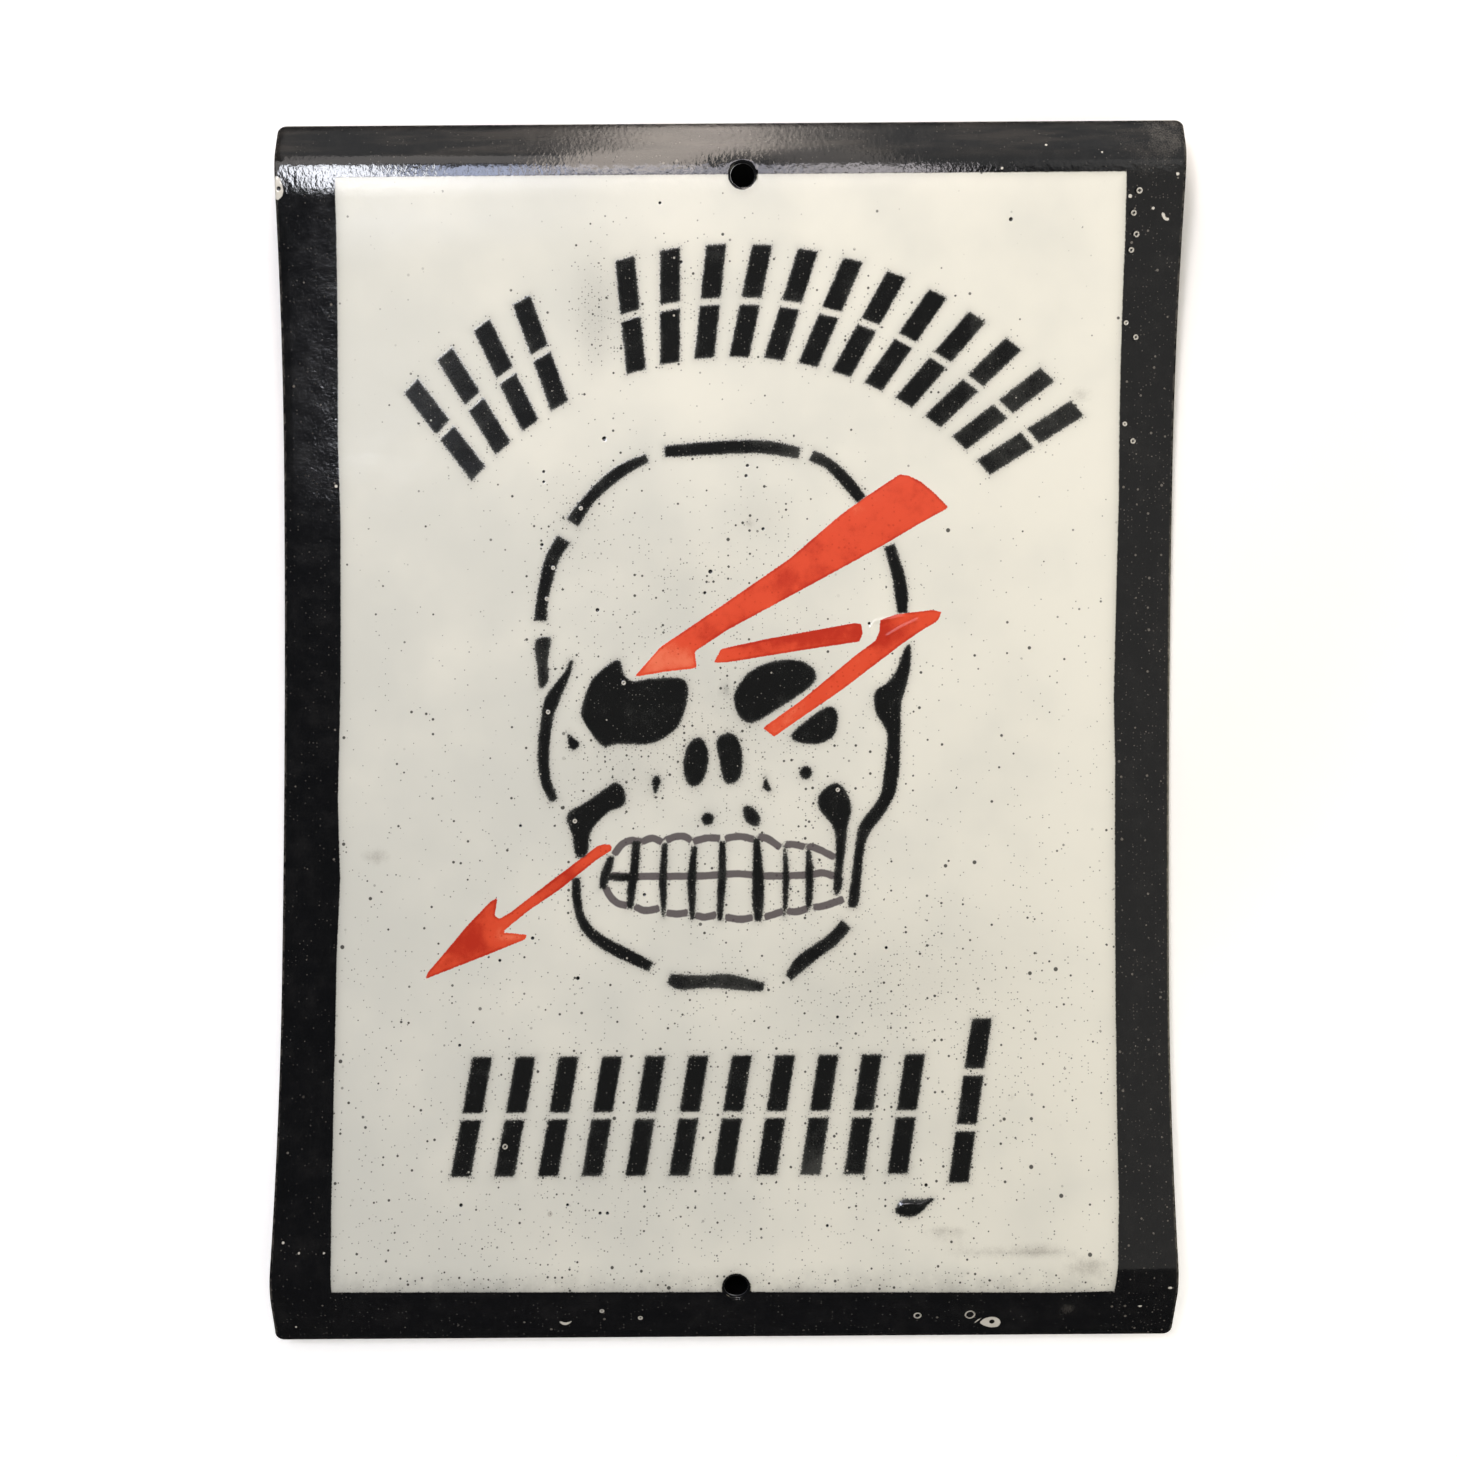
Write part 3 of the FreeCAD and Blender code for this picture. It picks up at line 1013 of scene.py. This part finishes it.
# parts of the sheet, in flat millimetres: where each begins and where it is whole
zones = {
    "low": ("up", 90.0, -120.0),
    "foot": ("up", -124.5, -131.5),
    "upper": ("up", 105.0, 122.0),
    "top": ("up", 118.0, 128.0),
    "lip": ("up", 129.0, 134.0),
    "lipEnd": ("up", 131.0, 134.0),
    "right": ("across", 85.0, 95.0),
}

# round dots: the pitch of their cells, the radius of the largest and the softness of their edge
dotKinds = {
    "speck": (1.7, 0.34, 0.05),
    "dust": (0.75, 0.19, 0.05),
    "pinhole": (6.5, 0.5, 0.08),
    "redDot": (1.3, 0.25, 0.15),
    "inkSpeck": (2.6, 0.28, 0.05),
    "inkGrit": (0.9, 0.15, 0.05),
    "borderSpeck": (3.1, 0.32, 0.05),
    "borderGrit": (0.9, 0.17, 0.05),
    "backPit": (3.0, 0.3, 0.05),
}


def readMaps(f):
    # everything that the coats share: places, distances, soft amounts, noises and zones
    m = {name: f.attribute(name) for name in (
        "inkEdge", "redEdge", "brushEdge", "panelEdge", "pinEdge", "ringEdge", "paleEdge",
        "cutEdge", "faceOut", *softPatches)}
    m["place"] = f.attribute("flatPlace", "Vector")
    m["across"] = f.add("ShaderNodeSeparateXYZ", None, {"Vector": m["place"]}, "X")
    m["up"] = m["across"].part("Y")
    for name, scale in stretchedPlaces.items():
        m[name] = f.add("ShaderNodeVectorMath", {"operation": "MULTIPLY"},
                        {0: m["place"], 1: scale}, "Vector")
    for name, (place, *settings) in noises.items():
        m[name] = f.noise(m[place], *settings)
    for name, (direction, start, whole) in zones.items():
        m[name] = m[direction].between(start, whole)
    return m


def weigh(m, weights):
    # a base, and a share of each map named, added up
    total = weights.get("base", 0.0)
    for name, weight in weights.items():
        if name != "base":
            total = m[name] * weight + total
    return total


# Each coat's looks: what feeds a mask by how much, and from where to where the mask rises

whiteLook = {
    "inkReach": 0.7,
    "driftReach": 2.0,
    "borderReach": 0.9,
    # greyer in random clouds, and more towards the left: that leftward greying is painted shade
    "cloudAndLeftShade": {"cloud": 1.0, "across": -0.0022},
    "cloudAndLeftShadeRise": (0.2, 0.8),
    "cloudyRise": (0.3, 0.7),
    "haze": {"nearInk": 0.34, "nearBorder": 0.35, "dust": 0.26, "cloudyFoot": 0.25},
    "hazeGrain": {"base": 0.5, "grain": 1.0},
    "patchy": {"wobble": 0.6, "mottle": 0.6, "grain": 0.8},
    "smudgeRise": (0.25, 0.85),
    "smudgeShare": 0.75,
    "specks": {"base": 0.012, "low": 0.04, "dust": 0.3, "drift": 0.1, "foot": 0.1},
    "fine": {"base": 0.012, "low": 0.06, "dust": 0.4, "nearInk": 0.7, "foot": 0.2},
    "fineShare": 0.75,
    "pinholes": {"base": 0.02, "low": 0.1},
    "dotShare": 0.92,
}


def whiteCoat(f, m):
    # the white, greyer in random clouds and in a painted shade towards the left, with grey dust from
    # the sprayed black, pepper and pinholes
    look = whiteLook
    m = dict(m)
    m["nearInk"] = m["inkEdge"].fade(look["inkReach"])
    m["drift"] = m["inkEdge"].fade(look["driftReach"])
    m["nearBorder"] = (m["panelEdge"] * -1).fade(look["borderReach"])
    m["cloudyFoot"] = m["foot"] * m["mottle"].between(*look["cloudyRise"])
    # random greyer clouds, and a painted shade that darkens the white towards the left
    cloudAndLeftShade = weigh(m, look["cloudAndLeftShade"]).between(*look["cloudAndLeftShadeRise"])
    tone = f.mix(cloudAndLeftShade, enamel["white"], enamel["whiteGreyAndShaded"])
    tone = f.mix(weigh(m, look["haze"]) * weigh(m, look["hazeGrain"]), tone, enamel["dust"])
    smudge = (m["smudge"] * weigh(m, look["patchy"])).between(*look["smudgeRise"])
    tone = f.mix(smudge * look["smudgeShare"], tone, enamel["smudge"])
    specks = f.dots(m, "speck", weigh(m, look["specks"]))
    fine = f.dots(m, "dust", weigh(m, look["fine"])) * look["fineShare"]
    pinholes = f.dots(m, "pinhole", weigh(m, look["pinholes"]))
    return f.mix(fine.most(specks).most(pinholes) * look["dotShare"], tone, enamel["speck"])


redLook = {
    "rimRise": (0.8, 0.1),
    "depth": {"base": -1.2, "deepRed": 1.0, "rim": 0.5, "mottle": 1.8, "fine": 0.6},
    "deepRise": (0.0, 0.9),
    "thinRise": (0.1, 0.9),
    "dots": 0.3,
    "dotShare": 0.6,
}


def redCoat(f, m):
    # the red, deeper at its rim and where the brush left more, and thin in places
    look = redLook
    rim = m["redEdge"].between(*look["rimRise"])
    depth = weigh({**m, "rim": rim}, look["depth"])
    tone = f.mix(depth.between(*look["deepRise"]), enamel["red"], enamel["redDeep"])
    tone = f.mix((depth * -1).between(*look["thinRise"]), tone, enamel["redThin"])
    dots = f.dots(m, "redDot", look["dots"]) * look["dotShare"]
    return f.mix(dots, tone, enamel["redDeep"])


inkLook = {
    "thinRise": (1.1, 0.0),
    "wornAndSheen": {"base": -1.3, "wornAndSheen": 0.8, "thin": 0.45, "mottle": 1.4, "grain": 1.2},
    "wornRise": (0.0, 1.1),
    "specks": 0.05,
    "speckShare": 0.8,
    "grit": 0.2,
    "gritShare": 0.22,
}


def inkCoat(f, m):
    # the sprayed black, thinner at its edges and worn grey in patches
    look = inkLook
    thin = m["inkEdge"].between(*look["thinRise"])
    wornAndSheen = weigh({**m, "thin": thin}, look["wornAndSheen"]).between(*look["wornRise"])
    tone = f.mix(wornAndSheen, enamel["ink"], enamel["inkWorn"])
    specks = f.dots(m, "inkSpeck", look["specks"]) * look["speckShare"]
    grit = f.dots(m, "inkGrit", look["grit"]) * look["gritShare"]
    return f.mix(specks.most(grit), tone, enamel["ring"])


borderLook = {
    "cloudy": {"base": -0.5, "mottle": 1.0, "grain": 1.0},
    "cloudyRise": (0.4, 0.8),
    "paleShare": 0.6,
    "bandRise": (0.4, 0.65),
    "lipSheenShare": 0.6,
    "wornAndSheenShare": 0.6,
    "rimRise": (0.8, 0.2),
    "broken": {"wobble": 1.0, "grain": 0.5},
    "brokenRise": (0.6, 0.95),
    "edgeWearAndGlintShare": 0.7,
    "specks": {"base": 0.05, "right": 0.25},
    "speckShare": 0.8,
    "grit": {"base": 0.12, "right": 0.15},
    "gritShare": 0.4,
}


def borderCoat(f, m):
    # the black edge, with a painted brownish sheen in bands and patches on the upper lip, and a broken
    # pale line along the cut edge that is partly wear and partly a painted highlight
    look = borderLook
    cloudy = weigh(m, look["cloudy"]).between(*look["cloudyRise"])
    tone = f.mix(cloudy * look["paleShare"], enamel["border"], enamel["borderPale"])
    # a painted reflection: brownish bands across the upper lip
    bands = m["lip"] * m["bands"].between(*look["bandRise"])
    tone = f.mix(bands * look["lipSheenShare"], tone, enamel["lipSheen"])
    # worn patches, and on the top lip's right end a painted sheen
    tone = f.mix(m["wornAndSheen"] * cloudy * look["wornAndSheenShare"], tone, enamel["wearAndGlint"])
    # a broken pale line along the cut edge: partly wear, partly a painted highlight on its rounding
    broken = weigh(m, look["broken"]).between(*look["brokenRise"])
    rim = m["cutEdge"].between(*look["rimRise"]) * broken
    tone = f.mix(rim * look["edgeWearAndGlintShare"], tone, enamel["wearAndGlint"])
    specks = f.dots(m, "borderSpeck", weigh(m, look["specks"])) * look["speckShare"]
    grit = f.dots(m, "borderGrit", weigh(m, look["grit"])) * look["gritShare"]
    return f.mix(specks.most(grit), tone, enamel["wearAndGlint"])


backLook = {
    "paleRise": (0.35, 0.7),
    "pits": 0.3,
    "pitShare": 0.6,
}


def backCoat(f, m):
    # the ground coat on the back, with no colour over it
    look = backLook
    tone = f.mix(m["mottle"].between(*look["paleRise"]), enamel["ground"], enamel["groundPale"])
    return f.mix(f.dots(m, "backPit", look["pits"]) * look["pitShare"], tone, enamel["pit"])


# how far the grain and the wobble move an edge, in millimetres
edgeRoughness = {
    "sway": {"base": -0.2, "wobble": 0.4},
    "fray": {"base": -0.85, "grain": 1.3, "wobble": 0.4},
}

# where each coat lies: its distance, what frays it and by how much, and where its edge rises
coatEdges = {
    "panel": ("panelEdge", "fray", 0.4, (-0.12, 0.12)),
    "red": ("redEdge", "fray", 0.35, (-0.08, 0.08)),
    "brush": ("brushEdge", "sway", 1.0, (-0.15, 0.15)),
    "ink": ("inkEdge", "fray", 1.0, (-0.25, 0.2)),
    "ring": ("ringEdge", None, 0.0, (-0.06, 0.06)),
    "pale": ("paleEdge", "fray", 0.25, (-0.08, 0.08)),
    "pin": ("pinEdge", None, 0.0, (-0.16, -0.04)),
    "back": ("faceOut", None, 0.0, (-0.6, -0.9)),
}


def coatMasks(m):
    rough = {name: weigh(m, weights) for name, weights in edgeRoughness.items()}
    masks = {}
    for name, (distance, moved, amount, rise) in coatEdges.items():
        edge = m[distance] + rough[moved] * amount if moved else m[distance]
        masks[name] = edge.between(*rise)
    return masks


def coatColour(f, m, on):
    tone = f.mix(on["red"], whiteCoat(f, m), redCoat(f, m))
    tone = f.mix(on["brush"] * brush["share"], tone, enamel["brush"])
    tone = f.mix(on["ink"], tone, inkCoat(f, m))
    tone = f.mix(on["panel"], borderCoat(f, m), tone)
    # pale rings round the craters: partly paler enamel, partly a painted highlight on their rims
    tone = f.mix(on["ring"], tone, enamel["ring"])
    tone = f.mix(on["pale"], tone, enamel["pale"])
    tone = f.mix(on["pin"], tone, enamel["pit"])
    return f.mix(on["back"], tone, backCoat(f, m))


# roughness: the border's, the white's, and how much more the others have
gloss = {
    "border": {"base": 0.04, "mottle": 0.1, "lipEnd": 0.12},
    "white": 0.09,
    "whiteHaze": 0.16,
    "redMore": 0.13,
    "inkMore": 0.01,
    "backMore": 0.31,
}


def coatGloss(m, on):
    black = weigh(m, gloss["border"])
    panel = m["upper"] * gloss["whiteHaze"] + on["red"] * gloss["redMore"]
    panel = panel + on["ink"] * gloss["inkMore"] + gloss["white"]
    return black + on["panel"] * (panel - black) + on["back"] * gloss["backMore"]


# how high the coats stand, in millimetres: slow waves all over, quick ripples that are weaker
# in the white, streaks near the top, and the thickness of the ink and the red
coatHeights = {
    "waves": 0.05,
    "ripple": 0.018,
    "rippleLostOnPanel": 0.014,
    "streaks": 0.045,
    "ink": 0.02,
    "red": 0.015,
}


def coatRelief(m, on):
    ripple = coatHeights["ripple"] - on["panel"] * coatHeights["rippleLostOnPanel"]
    height = m["waves"] * coatHeights["waves"] + m["ripple"] * ripple
    height = height + m["streaks"] * m["top"] * coatHeights["streaks"]
    return height + on["ink"] * coatHeights["ink"] + on["red"] * coatHeights["red"]


def firedEnamel():
    material = bpy.data.materials.new("fired_enamel")
    material.use_nodes = True
    f = Finish(material.node_tree)
    m = readMaps(f)
    on = coatMasks(m)
    values = {"Strength": 1.0, "Distance": mm, "Height": coatRelief(m, on)}
    shader = f.add("ShaderNodeBsdfPrincipled", None, {
        "Base Color": coatColour(f, m, on),
        "Roughness": coatGloss(m, on),
        "Normal": f.add("ShaderNodeBump", None, values, "Normal"),
    }, "BSDF")
    f.add("ShaderNodeOutputMaterial", None, {"Surface": shader}, None)
    return material


# The camera stands as the photograph was taken

view = {
    "place": (-5.762, -321.338, 2.108),
    "pitch": -0.0041,
    "roll": 0.0056,
    "lens": 34.383,
    "shift": 0.00974,
    "nearest": 0.01,
}


def addCamera():
    data = bpy.data.cameras.new("camera")
    data.lens = view["lens"]
    data.shift_x = view["shift"]
    data.clip_start = view["nearest"]
    camera = bpy.data.objects.new("camera", data)
    bpy.context.collection.objects.link(camera)
    forward = Vector((0, math.cos(view["pitch"]), math.sin(view["pitch"])))
    right = Vector((math.cos(view["roll"]), 0, math.sin(view["roll"])))
    up = right.cross(forward).normalized()
    right = forward.cross(up)
    turn = Matrix((right, up, -forward)).transposed().to_4x4()
    camera.matrix_world = Matrix.Translation(Vector(view["place"]) * mm) @ turn
    bpy.context.scene.camera = camera


# Stage and lights

stage = {
    "floor": -0.24,
    "floorSize": 6.0,
    "cardGap": 0.0004,
    "cardSize": 1.6,
    "shadeGap": 0.0002,
    "shade": (0.02, 0.02),
    "shadeHeight": 0.133,  # where the card would show through a fixing hole
    "paper": paint(255, 255, 255),
    "glowMiddle": (0.03, 0.0, 0.08),  # the card glows more, the further it is from here
    "glowFrom": 0.11,
    "glowTo": 0.24,
    "glow": 0.35,
    # the painted shade behind the fixing holes
    "dark": paint(20, 20, 20),
    "soft": 0.04,  # the world's light on the sign, and as the camera sees it
    "bright": 1.0,
}


def paperFinish(name, colour, glow):
    # matt, clear from behind, and lit from within for the camera away from the middle
    material = bpy.data.materials.new(name)
    material.use_nodes = True
    f = Finish(material.node_tree)
    matt = f.add("ShaderNodeBsdfDiffuse", None, {"Color": colour}, "BSDF")
    place = f.add("ShaderNodeTexCoord", None, None, "Object")
    away = f.add("ShaderNodeVectorMath", {"operation": "DISTANCE"},
                 {0: place, 1: stage["glowMiddle"]}, "Value")
    far = away.between(stage["glowFrom"], stage["glowTo"])
    light = f.add("ShaderNodeEmission", None, {"Color": far, "Strength": glow}, "Emission")
    both = f.add("ShaderNodeAddShader", None, {0: matt, 1: light})
    camera = f.add("ShaderNodeLightPath", None, None, "Is Camera Ray")
    shown = f.add("ShaderNodeMixShader", None, {0: camera, 1: matt, 2: both})
    back = f.add("ShaderNodeNewGeometry", None, None, "Backfacing")
    clear = f.add("ShaderNodeBsdfTransparent", None, None, "BSDF")
    oneSided = f.add("ShaderNodeMixShader", None, {0: back, 1: shown, 2: clear})
    f.add("ShaderNodeOutputMaterial", None, {"Surface": oneSided}, None)
    return material


def addSheetOf(name, size, place, turn, material):
    # a flat piece of the stage
    bm = bmesh.new()
    bmesh.ops.create_grid(bm, x_segments=1, y_segments=1, size=0.5)
    bmesh.ops.scale(bm, vec=(size[0], size[1], 1.0), verts=bm.verts)
    bmesh.ops.transform(bm, matrix=Matrix.Translation(place) @ turn, verts=bm.verts)
    mesh = bpy.data.meshes.new(name)
    bm.to_mesh(mesh)
    bm.free()
    mesh.materials.append(material)
    thing = bpy.data.objects.new(name, mesh)
    bpy.context.collection.objects.link(thing)
    thing.visible_glossy = False
    return thing


def addStage():
    # a floor, a card close behind the sign, and a dark patch behind each fixing hole: painted shade
    # for the camera to see through the hole
    floorSize = (stage["floorSize"], stage["floorSize"])
    addSheetOf("floor", floorSize, Vector((0, 0, stage["floor"])), Matrix.Identity(4),
               paperFinish("floor", stage["paper"], 0.0))
    upright = Matrix.Rotation(math.radians(90), 4, "X")
    behindSign = cadBox[1][1] + stage["cardGap"]
    cardSize = (stage["cardSize"], stage["cardSize"])
    cardMiddle = Vector((0, behindSign, stage["floor"] + stage["cardSize"] / 2))
    card = addSheetOf("card", cardSize, cardMiddle, upright,
                      paperFinish("card", stage["paper"], stage["glow"]))
    unlit = [card]  # what throws neither shadow nor light on the sign
    # painted shade: dark patches where the lit card would show through the fixing holes
    dark = paperFinish("shade", stage["dark"], 0.0)
    for side in (1, -1):
        behindHole = Vector((0, behindSign - stage["shadeGap"], side * stage["shadeHeight"]))
        unlit.append(addSheetOf("shade", stage["shade"], behindHole, upright, dark))
    for thing in unlit:
        thing.visible_shadow = False
        thing.visible_diffuse = False


# each lamp is a lit rectangle: its middle, its size, its brightness, its colour, the place
# that it points at, and how far it is turned about that line, in metres and radians
topFoldSpot = (0.0, 0.0, 0.127)
middleSpot = (0.0, 0.0, 0.0)
lamps = {
    "window": dict(place=(-0.243, -0.6, 0.22), size=(0.06, 0.16), glow=28.0,
                   colour=(0.91, 0.93, 1.0), aim=topFoldSpot, turn=0.28),
    "windowTop": dict(place=(-0.21, -0.6, 0.46), size=(0.21, 0.26), glow=1.7,
                      colour=(1.0, 0.93, 0.89), aim=topFoldSpot),
    "windowEdge": dict(place=(-0.16, -0.6, 0.22), size=(0.065, 0.1), glow=13.0,
                       colour=(0.68, 0.75, 1.0), aim=topFoldSpot),
    "sky": dict(place=(-0.044, -0.6, 0.225), size=(0.167, 0.06), glow=7.0,
                colour=(0.88, 0.86, 0.96), aim=topFoldSpot),
    "skyRight": dict(place=(0.089, -0.6, 0.225), size=(0.1, 0.06), glow=9.0,
                     colour=(0.93, 0.87, 0.9), aim=topFoldSpot),
    "ceiling": dict(place=(-0.031, -0.221, 0.33), size=(0.07, 0.38), glow=7.2,
                    colour=(1.0, 0.88, 0.78), aim=topFoldSpot),
    "ceilingEdge": dict(place=(0.033, -0.221, 0.33), size=(0.058, 0.38), glow=1.2,
                        colour=(1.0, 0.9, 0.82), aim=topFoldSpot),
    "room": dict(place=(0.02, -0.295, 0.397), size=(0.6, 0.5), glow=0.58,
                 colour=(1.0, 1.0, 1.0), aim=topFoldSpot),
    "wall": dict(place=(0.55, -0.95, 0.1), size=(0.5, 0.7), glow=0.45,
                 colour=(1.0, 0.96, 0.9), aim=middleSpot),
    "warm": dict(place=(0.39, -0.225, -0.02), size=(0.2, 0.2), glow=4.0,
                 colour=(1.0, 0.9, 0.63), aim=middleSpot),
    "behind": dict(place=(0.3, 0.9, 0.4), size=(0.6, 0.6), glow=2.5,
                   colour=(1.0, 1.0, 1.0), aim=middleSpot),
    "key": dict(place=(-0.55, -0.75, 0.36), size=(0.35, 0.35), glow=2.3,
                colour=(1.0, 0.97, 0.93), aim=middleSpot),
}


def addLamps():
    for name, lamp in lamps.items():
        data = bpy.data.lights.new(name, "AREA")
        data.shape = "RECTANGLE"
        data.size, data.size_y = lamp["size"]
        # so that the lamp itself looks as bright as its glow
        data.energy = math.pi * data.size * data.size_y * lamp["glow"]
        data.color = lamp["colour"]
        thing = bpy.data.objects.new(name, data)
        bpy.context.collection.objects.link(thing)
        place = Vector(lamp["place"])
        thing.location = place
        facing = (Vector(lamp["aim"]) - place).to_track_quat("-Z", "Y").to_matrix()
        thing.rotation_euler = (facing @ Matrix.Rotation(lamp.get("turn", 0.0), 3, "Z")).to_euler()


def addWorld():
    # soft light all round, seen as white by the camera
    world = bpy.data.worlds.new("world")
    bpy.context.scene.world = world
    world.use_nodes = True
    f = Finish(world.node_tree)
    backgrounds = [f.add("ShaderNodeBackground", None, {"Color": stage["paper"], "Strength": level})
                   for level in (stage["soft"], stage["bright"])]
    camera = f.add("ShaderNodeLightPath", None, None, "Is Camera Ray")
    shown = f.add("ShaderNodeMixShader", None, {0: camera, 1: backgrounds[0], 2: backgrounds[1]})
    f.add("ShaderNodeOutputWorld", None, {"Surface": shown}, None)


def addSign():
    sign = buildSheet()
    sign.data.materials.append(firedEnamel())
    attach(sign, "root")
    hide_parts("enamelled_sheet")
    triangles = sum(len(face.vertices) - 2 for face in sign.data.polygons)
    print("sign", triangles, "triangles")


bpy.context.scene.view_settings.view_transform = "Standard"
addCamera()
addWorld()
addLamps()
addStage()
print("stage and lights done")
addSign()
